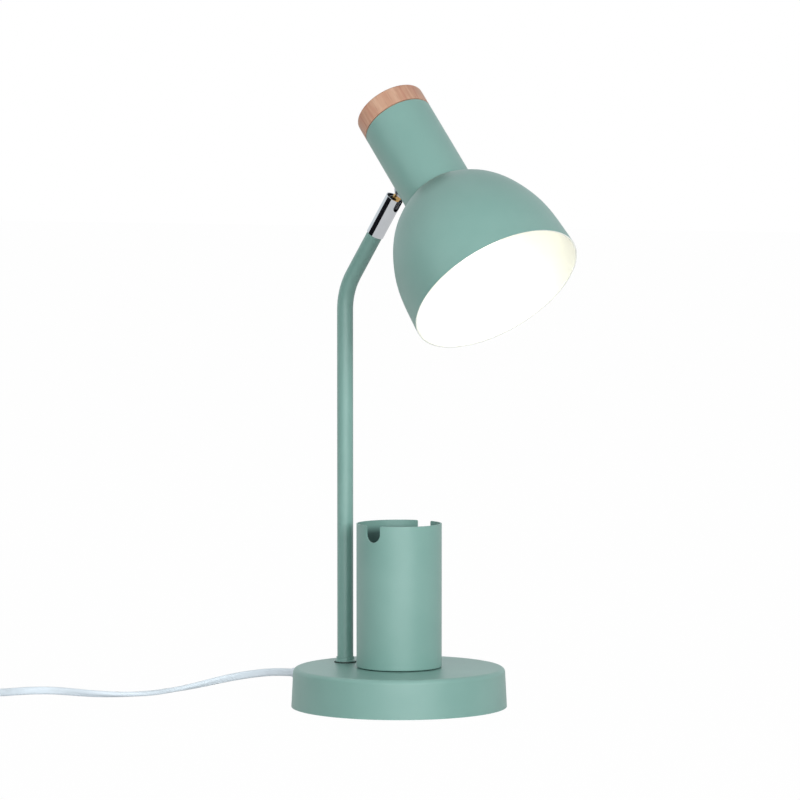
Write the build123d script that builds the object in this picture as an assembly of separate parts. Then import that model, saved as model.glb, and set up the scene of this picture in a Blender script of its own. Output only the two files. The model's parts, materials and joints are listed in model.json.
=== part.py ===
from build123d import *
import os
from math import cos, hypot, pi, radians, sin, sqrt, tan

# Desk lamp with a pen holder on its base. Sizes are in millimetres, angles in degrees.
# The lamp stands on z = 0 with the middle of its base over the origin. The head leans
# towards -Y, the pole and the cord are at +Y, and the hinge pin lies along X.

# Base: a drawn steel cover over a cast weight, closed from below
base_diameter = 160.0
base_taper = 1.5
base_height = 29.1
base_edge_radius = 3.5
base_lift = 0.2
shell_wall = 1.2
pad_inset = 5.0
pad_thickness = 2.0
plate_thickness = 1.0
plate_gap = 0.4
weight_gap = 4.8
weight_thickness = 10.0
weight_boss_radius = 9.0
pillar_radius = 6.0
pillar_inset = 19.0
pillar_angles = (30.0, 150.0, 270.0)
plate_screw_diameter = 4.0
plate_screw_head_diameter = 8.0
plate_screw_head_height = 1.5
plate_screw_length = 9.0
pad_hole_diameter = 10.0
pocket_width = 26.0

# Pen cup, standing on a washer in the middle of the base
cup_diameter = 63.2
cup_height = 106.5
cup_wall = 1.0
cup_foot_radius = 0.8
cup_notch_width = 12.4
cup_notch_depth = 12.3
cup_notch_corner = 1.0
spacer_diameter = 59.0
spacer_thickness = 0.6
cup_washer_diameter = 20.0
cup_washer_thickness = 1.5
cup_screw_diameter = 6.0
cup_screw_head_diameter = 12.0
cup_screw_head_height = 3.4
cup_screw_key_width = 4.0
cup_screw_length = 22.0

# Pole: one tube, bent forward near its top
pole_inset = 29.0
pole_diameter = 12.0
pole_wall = 1.0
bend_height = 307.8
bend_radius = 46.5
arm_lean = 34.1
arm_end = 64.0
gasket_diameter = 16.4
gasket_thickness = 0.8
collar_diameter = 15.4
collar_lip = 0.7
collar_neck_wall = 0.65
collar_height = 3.6
nipple_bore = 7.0
nipple_below_top = 11.2
nipple_in_pole = 16.0
foot_plate_diameter = 40.0
foot_plate_thickness = 3.0
foot_washer_diameter = 20.0
foot_washer_thickness = 1.0
foot_nut_width = 14.0
foot_nut_height = 4.0

# Knuckle: the sleeve on the arm, and the elbow that tilts in it
sleeve_start = 50.8
sleeve_end = 83.6
sleeve_diameter = 13.4
sleeve_wall = 0.65
sleeve_notch_width = 6.8
sleeve_notch_depth = 8.6
pin_station = 78.6
rivet_diameter = 3.0
rivet_seat = 0.2
elbow_lean = 14.4
ball_diameter = 11.7
ball_flat = 4.3
stem_diameter = 6.4
stem_seat = 2.0
stem_above_pin = 9.6
elbow_collar_diameter = 9.6
elbow_collar_thickness = 1.6
spigot_diameter = 8.0
lead_bore = 5.0
friction_washer_diameter = 6.0
friction_washer_thickness = 0.85
bush_diameter = 12.0
bush_height = 2.6
saddle_diameter = 16.0
saddle_thickness = 2.2
elbow_washer_diameter = 14.0
elbow_washer_thickness = 0.8
elbow_nut_width = 13.0
elbow_nut_height = 3.0
spigot_overhang = 0.3

# Head: neck and dome in one shell, swung a little to one side about the spigot
head_swing = -7.6
neck_diameter = 53.2
shade_wall = 1.0
neck_above_spigot = 43.2
neck_below_spigot = 27.3
dome_height = 91.2
rim_diameter = 130.0
dome_shoulder = (16.1, 44.8)
dome_waist = (42.1, 58.4)
dome_start_slope = (0.82, -0.57)
dome_end_slope = (0.05, -1.0)
neck_edge_radius = 0.5
cap_height = 15.0
cap_edge_radius = 1.6
cap_step = 1.2
cap_step_height = 0.6

# What hangs in the neck: bracket, lampholder and bulb
insert_diameter = 6.0
insert_length = 9.0
cap_screw_diameter = 4.0
cap_screw_head_diameter = 7.0
cap_screw_head_height = 2.4
cap_screw_reach = 7.0
bracket_thickness = 1.5
bracket_width = 12.0
bracket_half_span = 15.25
bracket_foot = 8.0
bracket_bend = 2.2
bracket_drop = 36.2
holder_back_diameter = 28.0
holder_back_height = 19.0
holder_diameter = 39.0
holder_mouth_height = 30.0
holder_roof = 4.0
holder_edge_radius = 1.5
socket_diameter = 27.8
socket_wall = 0.6
socket_height = 25.0
contact_diameter = 7.0
contact_height = 2.5
holder_screw_diameter = 3.0
holder_screw_length = 8.0
holder_screw_x = 10.5
terminal_x = 5.0
terminal_y = 9.5
terminal_diameter = 5.0
terminal_head = 1.5
bulb_length = 78.0
bulb_diameter = 45.0
bulb_cap_diameter = 26.3
bulb_cap_height = 24.0
bulb_cap_wall = 0.6
bulb_tip_height = 2.0
bulb_tip_diameter = 6.4
bulb_insulator_height = 1.9
bulb_insulator_diameter = 14.0
glass_wall = 0.8
glass_neck_gap = 0.15

# Leads inside the lamp
core_diameter = 2.1
core_spacing = 2.3
core_bend = 2.4
core_wide_bend = 4.4
core_above_plate = 3.4
core_beside_pole = 6.5
core_slant = 4.0
core_below_ball = 1.5
core_in_ball = 1.0
core_past_spigot = 3.1
core_above_holder = 6.0

# Cord and what is on it
cord_diameter = 5.6
cord_exit_height = 17.5
bush_flange_diameter = 12.0
bush_flange_thickness = 1.8
bush_neck_diameter = 9.8
bush_sleeve_length = 20.0
bush_sleeve_thick = 9.2
bush_sleeve_thin = 7.2
bush_grooves = 4
bush_groove_depth = 0.45
cord_inside_length = 12.0
cord_start_gap = 21.0
ground_gap = 0.1

switch_middle = (-200.0, 268.0)
switch_length = 60.0
switch_width = 27.0
switch_corner = 9.0
tray_height = 10.4
lid_height = 6.1
switch_wall = 1.8
switch_cord_height = 6.0
switch_nose_length = 6.0
switch_nose_diameter = 8.4
rocker_length = 13.2
rocker_width = 10.4
rocker_crown = 5.4
rocker_dip = 1.1
rocker_gap = 0.3
rocker_pivot_height = 12.5
rocker_pin_diameter = 2.4
rocker_pin_length = 1.3
rocker_lean = 8.0
switch_screw_diameter = 3.0
switch_screw_head = 5.4
switch_screw_spacing = 46.0

plug_tip = (-321.0, 187.0)
plug_width = 35.3
plug_thickness = 13.7
plug_grip_length = 22.0
plug_taper_length = 14.0
plug_nose_length = 12.0
plug_nose_diameter = 8.6
pin_spacing = 18.6
pin_diameter = 4.0
pin_length = 19.0
pin_sleeve_length = 10.0
pin_core_diameter = 3.0

coil_middle = (-278.0, 225.0)
coil_outer_radius = 43.0
coil_pitch = 6.2
coil_layer = 6.1
coil_turns = 3

# The cord's way on the table: the corners of its route, rounded as far as its runs allow
cord_floor = cord_diameter / 2 + ground_gap
cord_start_y = base_diameter / 2 + cord_start_gap
switch_run = 9.0
switch_y = switch_middle[1]
switch_face = switch_middle[0] + switch_length / 2 + switch_nose_length
switch_back = switch_middle[0] - switch_length / 2 - switch_nose_length
coil_start = (coil_middle[0] + cord_diameter, coil_middle[1] + coil_outer_radius, cord_floor)
plug_middle = plug_thickness / 2 + ground_gap
route_to_switch = [
    (0.0, cord_start_y, cord_exit_height),
    (0.0, cord_start_y + 11.0, cord_exit_height),
    (0.1, 135.0, 14.6),
    (-9.0, 158.0, 10.1),
    (-28.0, 175.4, 4.3),
    (-45.7, 184.1, cord_floor),
    (-71.0, 185.8, cord_floor),
    (-88.8, 199.4, cord_floor),
    (-98.2, 212.8, cord_floor),
    (-102.8, 231.0, cord_floor),
    (-105.8, 248.8, cord_floor),
    (-115.2, 261.9, cord_floor),
    (-129.4, 268.6, cord_floor),
    (switch_face + 2.1 * switch_run, switch_y, 3.6),
    (switch_face + switch_run, switch_y, switch_cord_height),
    (switch_face, switch_y, switch_cord_height),
]
route_from_switch = [
    (switch_back, switch_y, switch_cord_height),
    (switch_back - switch_run, switch_y, switch_cord_height),
    (coil_start[0] + 12.4, coil_start[1], cord_floor),
    coil_start,
]
route_to_plug = [
    (plug_tip[0], plug_tip[1] + 24.0, cord_floor + coil_layer),
    (plug_tip[0], plug_tip[1] + 11.0, plug_middle),
    (plug_tip[0], plug_tip[1], plug_middle),
]

# Clearances
fit_gap = 0.05
turn_gap = 0.05
hole_gap = 0.1

# Heights and places that follow from the sizes above
base_radius = base_diameter / 2
base_draft = base_taper / (base_height - base_lift)
base_floor = pad_thickness
plate_top = base_floor + plate_thickness
weight_top = plate_top + weight_thickness
shell_under = base_height - shell_wall
weight_diameter = base_diameter - 2 * (shell_wall + weight_gap)
pillar_circle_radius = weight_diameter / 2 - pillar_inset
pole_y = base_radius - pole_inset
cord_inside_end = base_radius - cord_inside_length
cup_bottom = base_height + spacer_thickness
pole_bottom = base_height + gasket_thickness
foot_plate_under = shell_under - foot_plate_thickness
foot_nut_top = foot_plate_under - foot_washer_thickness
nipple_diameter = pole_diameter - 2 * pole_wall - 2 * fit_gap
nipple_bottom = base_height - nipple_below_top
ball_radius = ball_diameter / 2
rivet_inner_end = lead_bore / 2 + rivet_seat + fit_gap
neck_radius = neck_diameter / 2
collar_end = stem_above_pin + elbow_collar_thickness
neck_skin = collar_end + turn_gap + bush_height
neck_offset = neck_skin + neck_radius
saddle_face = neck_skin + shade_wall + saddle_thickness
elbow_washer_start = saddle_face + turn_gap
elbow_nut_start = elbow_washer_start + elbow_washer_thickness
spigot_end = elbow_nut_start + elbow_nut_height + spigot_overhang
plate_under = neck_above_spigot - shade_wall
crease = -neck_below_spigot
rim_z = crease - dome_height
bracket_under = plate_under - bracket_thickness
holder_top = plate_under - bracket_drop
holder_step = holder_top - holder_back_height
holder_mouth = holder_step - holder_mouth_height
socket_roof = holder_step - holder_roof
bulb_tip = socket_roof - contact_height - hole_gap
bulb_cap_top = bulb_tip - bulb_tip_height - bulb_insulator_height
bulb_cap_bottom = bulb_cap_top - bulb_cap_height

# Frames: along the arm, on the hinge pin, along the stem, and the head's own
arm_frame = Pos(0, pole_y, bend_height) * Rot(arm_lean, 0, 0)
pin_frame = arm_frame * Pos(0, 0, pin_station)
elbow_frame = pin_frame * Rot(elbow_lean, 0, 0)
head_frame = elbow_frame * Rot(0, 0, head_swing) * Pos(0, 0, neck_offset) * Rot(-90, 0, 0)

on_floor = (Align.CENTER, Align.CENTER, Align.MIN)
hanging = (Align.CENTER, Align.CENTER, Align.MAX)


def disc(diameter, bottom, top, x=0.0, y=0.0):
    return Pos(x, y, bottom) * Cylinder(diameter / 2, top - bottom, align=on_floor)


def ring(outer, inner, bottom, top, x=0.0, y=0.0):
    return disc(outer, bottom, top, x, y) - disc(inner, bottom - 1, top + 1, x, y)


def hexagon(width, bore, bottom, top, x=0.0, y=0.0):
    face = RegularPolygon(width / 2, 6, major_radius=False)
    nut = Pos(x, y, bottom) * extrude(face, top - bottom)
    return nut - disc(bore, bottom - 1, top + 1, x, y)


def turned(points):
    """A solid turned about the z axis from a closed outline of (radius, height) points."""
    outline = Polyline(*[(r, 0, z) for r, z in points], close=True)
    return revolve(make_face(outline), Axis.Z)


def along_y(shape, y, z):
    """A shape made about its own z axis, laid down so that its z points along +Y."""
    return Pos(0, y, z) * Rot(-90, 0, 0) * shape


def save(name, *solids):
    shape = solids[0] if len(solids) == 1 else Compound(list(solids))
    export_step(shape, f"parts/{name}.step")


def turn_between(a, b, c):
    first = Vector(*b) - Vector(*a)
    second = Vector(*c) - Vector(*b)
    return first.get_angle(second), min(first.length, second.length)


def route_line(points):
    """Straight runs joined by arcs, each as large as its two runs allow."""
    radii = []
    for a, b, c in zip(points, points[1:], points[2:]):
        angle, shorter = turn_between(a, b, c)
        radii.append(0.45 * shorter / tan(radians(angle) / 2))
    return FilletPolyline(*points, radius=radii), radii


def tube_along(line, diameter):
    section = Plane(origin=line @ 0, z_dir=line % 0) * Circle(diameter / 2)
    return sweep(section, path=line)


def cord_stretch(name, points):
    line, radii = route_line(points)
    tube = tube_along(line, cord_diameter)
    expected = pi * cord_diameter**2 / 4 * line.length
    print(name, "length", round(line.length, 1), "radii", [round(r) for r in radii])
    print(name, "volume over section times length", round(tube.volume / expected, 4))
    return tube, line.length


# Base


def base_shell():
    height = base_height - base_lift
    top = base_radius - base_taper
    outer = Cone(base_radius, top, height, align=on_floor)
    outer = fillet(outer.edges().sort_by(Axis.Z)[-1], base_edge_radius)
    inner = Cone(base_radius - shell_wall, top - shell_wall, height - shell_wall, align=on_floor)
    inner = fillet(inner.edges().sort_by(Axis.Z)[-1], base_edge_radius - shell_wall)
    shell = Pos(0, 0, base_lift) * (outer - inner)
    shell -= disc(nipple_diameter + 2 * hole_gap, shell_under - 1, base_height + 1, 0, pole_y)
    shell -= disc(cup_screw_diameter + 2 * hole_gap, shell_under - 1, base_height + 1)
    cord_hole = Cylinder(bush_neck_diameter / 2 + hole_gap, 20, align=on_floor)
    return shell - along_y(cord_hole, cord_inside_end, cord_exit_height)


def pillar_places():
    for angle in pillar_angles:
        yield pillar_circle_radius * cos(radians(angle)), pillar_circle_radius * sin(radians(angle))


def base_weight():
    weight = disc(weight_diameter, plate_top, weight_top)
    pocket = disc(pocket_width, plate_top - 1, weight_top + 1, 0, pole_y)
    slot_length = weight_diameter / 2
    slot = Box(pocket_width, slot_length, weight_thickness + 2, align=(Align.CENTER, Align.MIN, Align.MIN))
    weight -= pocket + Pos(0, pole_y, plate_top - 1) * slot
    weight += disc(2 * weight_boss_radius, weight_top, shell_under)
    for x, y in pillar_places():
        weight += disc(2 * pillar_radius, weight_top, shell_under, x, y)
    screw_end = cup_bottom + cup_wall + cup_washer_thickness - cup_screw_length
    weight -= disc(cup_screw_diameter + 2 * fit_gap, screw_end - 1, shell_under + 1)
    for x, y in pillar_places():
        weight -= disc(plate_screw_diameter + 2 * fit_gap, plate_top - 1, plate_top + plate_screw_length, x, y)
    return weight


def base_plate():
    radius = base_radius - shell_wall - base_draft * (plate_top - base_lift) - plate_gap
    plate = disc(2 * radius, base_floor, plate_top)
    for x, y in pillar_places():
        plate -= disc(plate_screw_diameter + 2 * hole_gap, base_floor - 1, plate_top + 1, x, y)
    return plate


def plate_screws():
    head_under = base_floor - plate_screw_head_height
    for x, y in pillar_places():
        head = disc(plate_screw_head_diameter, head_under, base_floor, x, y)
        head = fillet(head.edges().sort_by(Axis.Z)[0], 0.6)
        shank = disc(plate_screw_diameter, base_floor, plate_top + plate_screw_length - 1, x, y)
        yield (head + shank).solid()


def non_slip_pad():
    pad = disc(base_diameter - 2 * pad_inset, 0, pad_thickness)
    for x, y in pillar_places():
        pad -= disc(pad_hole_diameter, -1, pad_thickness + 1, x, y)
    return pad


# Pen cup


def pen_cup():
    radius = cup_diameter / 2
    outer = disc(cup_diameter, cup_bottom, cup_bottom + cup_height)
    outer = fillet(outer.edges().sort_by(Axis.Z)[0], cup_foot_radius)
    cup = outer - disc(cup_diameter - 2 * cup_wall, cup_bottom + cup_wall, cup_bottom + cup_height + 1)
    notch_radius = cup_notch_width / 2
    rim = cup_bottom + cup_height
    straight = cup_notch_depth - notch_radius
    for side in (-1, 1):
        place = Pos(side * radius, 0, rim - straight)
        round_end = Rot(0, 90, 0) * Cylinder(notch_radius, 8)
        opening = Box(8, cup_notch_width, straight + 1, align=on_floor)
        mouth = Pos(0, 0, straight) * Rot(0, 90, 0) * notch_mouth(8)
        cup -= place * (round_end + opening + mouth)
    cup -= disc(cup_screw_diameter + 2 * hole_gap, cup_bottom - 1, cup_bottom + cup_wall + 1)
    return cup


def notch_mouth(depth):
    """The rounded-over corners where a notch meets the rim, as one block to cut away."""
    half = cup_notch_width / 2
    r = cup_notch_corner
    block = Box(2 * r, 2 * half + 2 * r, depth)
    for side in (-1, 1):
        block -= Pos(r, side * (half + r), 0) * Cylinder(r, depth + 1)
    return block


def cup_fixings():
    spacer = ring(spacer_diameter, cup_screw_diameter + 2 * hole_gap, base_height, cup_bottom)
    floor = cup_bottom + cup_wall
    washer_top = floor + cup_washer_thickness
    washer = ring(cup_washer_diameter, cup_screw_diameter + 2 * hole_gap, floor, washer_top)
    head = disc(cup_screw_head_diameter, washer_top, washer_top + cup_screw_head_height)
    head = fillet(head.edges().sort_by(Axis.Z)[-1], cup_screw_head_height / 2)
    socket = Pos(0, 0, washer_top + cup_screw_head_height / 2)
    head -= socket * extrude(RegularPolygon(cup_screw_key_width / 2, 6, major_radius=False), cup_screw_head_height)
    screw = head + disc(cup_screw_diameter, washer_top - cup_screw_length, washer_top)
    return spacer, washer, screw.solid()


# Pole and its foot


def pole_line():
    end = arm_frame * Pos(0, 0, arm_end)
    corner = (0, pole_y, bend_height)
    tip = end.position
    return FilletPolyline((0, pole_y, pole_bottom), corner, (tip.X, tip.Y, tip.Z), radius=bend_radius)


def pole():
    line = pole_line()
    return tube_along(line, pole_diameter) - tube_along(line, pole_diameter - 2 * pole_wall)


def pole_collar():
    """A turned ring with a thin lip at its foot, drawn in by a hollow curve to a rounded neck."""
    bore = pole_diameter / 2 + fit_gap
    lip = collar_diameter / 2
    neck = bore + collar_neck_wall
    round_over = collar_neck_wall * 0.6
    waist = collar_lip + lip - neck
    foot = Polyline((neck - round_over, 0, collar_height), (bore, 0, collar_height), (bore, 0, 0),
                    (lip, 0, 0), (lip, 0, collar_lip))
    hollow = TangentArc((lip, 0, collar_lip), (neck, 0, waist), tangent=(-1, 0, 0))
    side = Line((neck, 0, waist), (neck, 0, collar_height - round_over))
    crown = TangentArc(side @ 1, (neck - round_over, 0, collar_height), tangent=(0, 0, 1))
    return revolve(make_face(Curve() + [foot, hollow, side, crown]), Axis.Z)


def pole_foot():
    gasket = ring(gasket_diameter, nipple_diameter + 2 * hole_gap, base_height, pole_bottom, 0, pole_y)
    collar = Pos(0, pole_y, pole_bottom) * pole_collar()
    nipple = ring(nipple_diameter, nipple_bore, nipple_bottom, pole_bottom + nipple_in_pole, 0, pole_y)
    hole = nipple_diameter + 2 * fit_gap
    plate = ring(foot_plate_diameter, hole, foot_plate_under, shell_under, 0, pole_y)
    washer = ring(foot_washer_diameter, hole, foot_nut_top, foot_plate_under, 0, pole_y)
    nut = hexagon(foot_nut_width, hole, foot_nut_top - foot_nut_height, foot_nut_top, 0, pole_y)
    return gasket, collar, nipple, plate, washer, nut


# Knuckle


def knuckle_sleeve():
    inner = sleeve_diameter - 2 * sleeve_wall
    sleeve = ring(sleeve_diameter, inner, sleeve_start, sleeve_end)
    half = sleeve_notch_width / 2
    bottom = sleeve_end - sleeve_notch_depth + half
    reach = (Align.CENTER, Align.MAX, Align.MIN)
    slot = Pos(0, 0, bottom) * Box(sleeve_notch_width, sleeve_diameter, sleeve_notch_depth, align=reach)
    round_end = Pos(0, 0, bottom) * Rot(90, 0, 0) * Cylinder(half, sleeve_diameter, align=on_floor)
    sleeve -= slot + round_end
    rivet_hole = Pos(0, 0, pin_station) * Rot(0, 90, 0) * Cylinder(rivet_diameter / 2 + fit_gap, 30)
    return arm_frame * (sleeve - rivet_hole)


def stub_pair(shape):
    """Two copies of a shape made along +Z, one along +X and one along -X."""
    return [Rot(0, side * 90, 0) * shape for side in (-1, 1)]


def hinge_rivets():
    skin = Cylinder(sleeve_diameter / 2 + fit_gap, 20)
    stub = disc(rivet_diameter, rivet_inner_end, sleeve_diameter)
    return [pin_frame * (rivet & skin).solid() for rivet in stub_pair(stub)]


def friction_washers():
    start = ball_flat + turn_gap
    hole = rivet_diameter + 2 * fit_gap
    washer = ring(friction_washer_diameter, hole, start, start + friction_washer_thickness)
    return [pin_frame * w.solid() for w in stub_pair(washer)]


def elbow_ball():
    ball = Sphere(ball_radius) & Box(2 * ball_flat, ball_diameter, ball_diameter)
    ball -= disc(lead_bore, -ball_diameter, ball_diameter)
    ball -= disc(stem_diameter + 2 * fit_gap, stem_seat, ball_diameter)
    rivet_hole = disc(rivet_diameter + 2 * fit_gap, rivet_inner_end - fit_gap, ball_diameter)
    for hole in stub_pair(rivet_hole):
        ball -= hole
    return elbow_frame * ball


def elbow_nipple():
    stem = disc(stem_diameter, stem_seat, stem_above_pin)
    collar = disc(elbow_collar_diameter, stem_above_pin, collar_end)
    stem += fillet(collar.edges().sort_by(Axis.Z)[0], elbow_collar_thickness * 0.4)
    stem += disc(spigot_diameter, collar_end, spigot_end)
    return elbow_frame * (stem - disc(lead_bore, stem_seat - 1, spigot_end + 1))


def neck_block(diameter, start, end):
    """A round block along the spigot, as the head's frame has it: its stations count from the pin."""
    block = Cylinder(diameter / 2, end - start, align=on_floor)
    return Pos(0, neck_offset - start, 0) * Rot(90, 0, 0) * block


def neck_bush():
    bush = neck_block(bush_diameter, collar_end + turn_gap, neck_offset)
    bush -= Cylinder(neck_radius + 0.2 * fit_gap, 4 * bush_diameter)
    return bush - neck_block(spigot_diameter + 2 * turn_gap, 0, neck_offset + 1)


def inner_saddle():
    saddle = neck_block(saddle_diameter, neck_skin, saddle_face)
    saddle &= Cylinder(neck_radius - shade_wall - fit_gap, 4 * saddle_diameter)
    return saddle - neck_block(spigot_diameter + 2 * turn_gap, 0, neck_offset + 1)


def elbow_fixings():
    hole = spigot_diameter + 2 * fit_gap
    washer = ring(elbow_washer_diameter, hole, elbow_washer_start, elbow_nut_start)
    nut = hexagon(elbow_nut_width, hole, elbow_nut_start, elbow_nut_start + elbow_nut_height)
    return elbow_frame * washer, elbow_frame * nut


# Head


def dome_curve():
    """The dome's outside from the crease to the rim, in the plane of radius and height."""
    points = [
        (neck_radius, 0, crease),
        (dome_shoulder[1], 0, crease - dome_shoulder[0]),
        (dome_waist[1], 0, crease - dome_waist[0]),
        (rim_diameter / 2, 0, rim_z),
    ]
    start = (dome_start_slope[0], 0, dome_start_slope[1])
    end = (dome_end_slope[0], 0, dome_end_slope[1])
    return Spline(*points, tangents=(start, end))


def dome_inside():
    outside = dome_curve()
    steps = 6
    points = []
    for i in range(steps + 1):
        at = outside @ (i / steps)
        way = outside % (i / steps)
        points.append((at.X + way.Z * shade_wall, 0, at.Z - way.X * shade_wall))
    points[-1] = (rim_diameter / 2 - shade_wall, 0, rim_z - 0.01)
    start, end = outside % 0, outside % 1
    return Spline(*points, tangents=((start.X, 0, start.Z), (end.X, 0, end.Z)))


def below_curve(curve):
    top, bottom = curve @ 0, curve @ 1
    sides = Polyline((top.X, 0, top.Z), (0, 0, top.Z), (0, 0, bottom.Z), (bottom.X, 0, bottom.Z))
    return revolve(make_face(Curve() + [curve, sides]), Axis.Z)


def shade():
    neck = Pos(0, 0, crease) * Cylinder(neck_radius, neck_above_spigot - crease, align=on_floor)
    neck = fillet(neck.edges().sort_by(Axis.Z)[-1], neck_edge_radius)
    inside_top = (dome_inside() @ 0).Z
    hollow = disc(neck_diameter - 2 * shade_wall, inside_top - 1, plate_under)
    body = neck + below_curve(dome_curve()) - hollow - below_curve(dome_inside())
    body -= neck_block(spigot_diameter + 2 * hole_gap, 0, neck_offset)
    return body - disc(cap_screw_diameter + 2 * hole_gap, plate_under - 1, neck_above_spigot + 1)


def wood_cap():
    top = neck_above_spigot + cap_height
    step_top = neck_above_spigot + cap_step_height
    cap = disc(neck_diameter, step_top, top)
    cap = fillet(cap.edges().sort_by(Axis.Z)[-1], cap_edge_radius)
    cap += disc(neck_diameter - 2 * cap_step, neck_above_spigot, step_top)
    return cap - disc(insert_diameter + 2 * fit_gap, neck_above_spigot - 1, neck_above_spigot + insert_length)


def cap_fixings():
    insert_bottom = neck_above_spigot
    bore = cap_screw_diameter + 2 * fit_gap
    insert = ring(insert_diameter, bore, insert_bottom, insert_bottom + insert_length)
    head = disc(cap_screw_head_diameter, bracket_under - cap_screw_head_height, bracket_under)
    head = fillet(head.edges().sort_by(Axis.Z)[0], cap_screw_head_height / 3)
    screw = head + disc(cap_screw_diameter, bracket_under, insert_bottom + cap_screw_reach)
    return insert, screw.solid()


def holder_bracket():
    middle = plate_under - bracket_thickness / 2
    foot = holder_top + bracket_thickness / 2
    half = bracket_half_span
    points = [(-bracket_foot, foot), (-half, foot), (-half, middle), (half, middle), (half, foot), (bracket_foot, foot)]
    strip = trace(FilletPolyline(*points, radius=bracket_bend), bracket_thickness)
    bracket = Rot(90, 0, 0) * Pos(0, 0, -bracket_width / 2) * extrude(strip, bracket_width)
    bracket -= disc(cap_screw_diameter + 2 * hole_gap, bracket_under - 1, plate_under + 1)
    for side in (-1, 1):
        hole = disc(holder_screw_diameter + 2 * hole_gap, holder_top - 1, holder_top + bracket_thickness + 1)
        bracket -= Pos(side * holder_screw_x, 0, 0) * hole
    return bracket


def screw_down(diameter, head_diameter, head_height, length, seat, x, y):
    """A round-headed screw whose head sits on a seat and whose shank points down."""
    head = disc(head_diameter, seat, seat + head_height, x, y)
    head = fillet(head.edges().sort_by(Axis.Z)[-1], head_height / 3)
    return (head + disc(diameter, seat - length, seat, x, y)).solid()


def lampholder_body():
    back = disc(holder_back_diameter, holder_step, holder_top)
    back = fillet(back.edges().sort_by(Axis.Z)[-1], holder_edge_radius)
    mouth = disc(holder_diameter, holder_mouth, holder_step)
    mouth = fillet(mouth.edges().group_by(Axis.Z)[-1], holder_edge_radius)
    body = back + mouth - disc(socket_diameter + 2 * hole_gap, holder_mouth - 1, socket_roof)
    depth = holder_top - holder_screw_length - 1
    for side in (-1, 1):
        screw_hole = disc(holder_screw_diameter + 2 * fit_gap, depth, holder_top + 1)
        body -= Pos(side * holder_screw_x, 0, 0) * screw_hole
        terminal_hole = disc(holder_screw_diameter + 2 * fit_gap, depth, holder_top + 1)
        body -= Pos(side * terminal_x, terminal_y, 0) * terminal_hole
    return body


def lampholder_fittings():
    socket_top = socket_roof - fit_gap
    inner = socket_diameter - 2 * socket_wall
    socket = disc(socket_diameter, socket_top - socket_height, socket_top)
    socket -= disc(inner, socket_top - socket_height - 1, socket_top - socket_wall)
    socket -= disc(contact_diameter + 4, socket_top - 2, socket_top + 1)
    contact = disc(contact_diameter, socket_roof - contact_height, socket_roof)
    contact = fillet(contact.edges().sort_by(Axis.Z)[0], contact_height / 3)
    seat = holder_top + bracket_thickness
    reach = holder_screw_length
    screws = []
    terminals = []
    for side in (-1, 1):
        x = side * holder_screw_x
        screws.append(screw_down(holder_screw_diameter, 5.0, 1.8, reach, seat, x, 0))
        tx = side * terminal_x
        terminals.append(
            screw_down(holder_screw_diameter, terminal_diameter, terminal_head, 6, holder_top, tx, terminal_y)
        )
    return socket, contact, screws, terminals


def bulb_outline(inset):
    """Half the outline of the glass, from its open neck to the bottom of the ball."""
    radius = bulb_diameter / 2
    centre = bulb_tip - bulb_length + radius
    neck = bulb_cap_diameter / 2 - bulb_cap_wall - glass_neck_gap - inset
    neck_top = bulb_cap_bottom + 3
    side = radians(35)
    r = radius - inset
    shoulder = (r * cos(side), 0, centre + r * sin(side))
    bottom = (0, 0, centre - r)
    pipe = Line((neck, 0, neck_top), (neck, 0, bulb_cap_bottom - 1))
    flare = Spline(pipe @ 1, shoulder, tangents=((0, 0, -1), (sin(side), 0, -cos(side))))
    ball = ThreePointArc(shoulder, (r, 0, centre), bottom)
    axis = Polyline(bottom, (0, 0, neck_top), pipe @ 0)
    return revolve(make_face(Curve() + [pipe, flare, ball, axis]), Axis.Z)


def bulb():
    glass = bulb_outline(0) - bulb_outline(glass_wall)
    cap = disc(bulb_cap_diameter, bulb_cap_bottom, bulb_cap_top)
    cap -= disc(bulb_cap_diameter - 2 * bulb_cap_wall, bulb_cap_bottom - 1, bulb_cap_top - bulb_cap_wall)
    insulator = Pos(0, 0, bulb_cap_top) * Cone(
        bulb_insulator_diameter / 2, bulb_tip_diameter / 2, bulb_insulator_height, align=on_floor
    )
    tip = disc(bulb_tip_diameter, bulb_tip - bulb_tip_height, bulb_tip)
    tip = fillet(tip.edges().sort_by(Axis.Z)[-1], bulb_tip_height / 3)
    return glass, cap, (insulator + tip).solid()


# Leads


def core_pair(points, radii):
    """Two insulated cores side by side in X, along one route of (x, y, z) points."""
    cores = []
    for side in (-1, 1):
        route = [(side * x, y, z) for x, y, z in points]
        cores.append(tube_along(FilletPolyline(*route, radius=radii), core_diameter).solid())
    return cores


def stem_leads():
    half = core_spacing / 2
    under = plate_top + core_diameter / 2 + core_above_plate
    dip_y = pole_y + core_beside_pole
    tip = (arm_frame * Pos(0, 0, pin_station - ball_radius - core_below_ball)).position
    points = [
        (half, cord_inside_end, cord_exit_height),
        (half, dip_y + core_slant, cord_exit_height),
        (half, dip_y, under),
        (half, pole_y, under),
        (half, pole_y, bend_height),
        (half, tip.Y, tip.Z),
    ]
    return core_pair(points, [core_wide_bend, core_wide_bend, core_bend, bend_radius])


def head_leads():
    half = core_spacing / 2
    rise = neck_offset - spigot_end - core_past_spigot
    over = holder_top + core_above_holder
    points = [
        (half, neck_offset - core_in_ball, 0),
        (half, rise, 0),
        (half, rise, over),
        (terminal_x, terminal_y, over),
        (terminal_x, terminal_y, holder_top + terminal_head + hole_gap),
    ]
    return core_pair(points, core_bend)


# Cord, its bush, the switch on it and its plug


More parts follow.
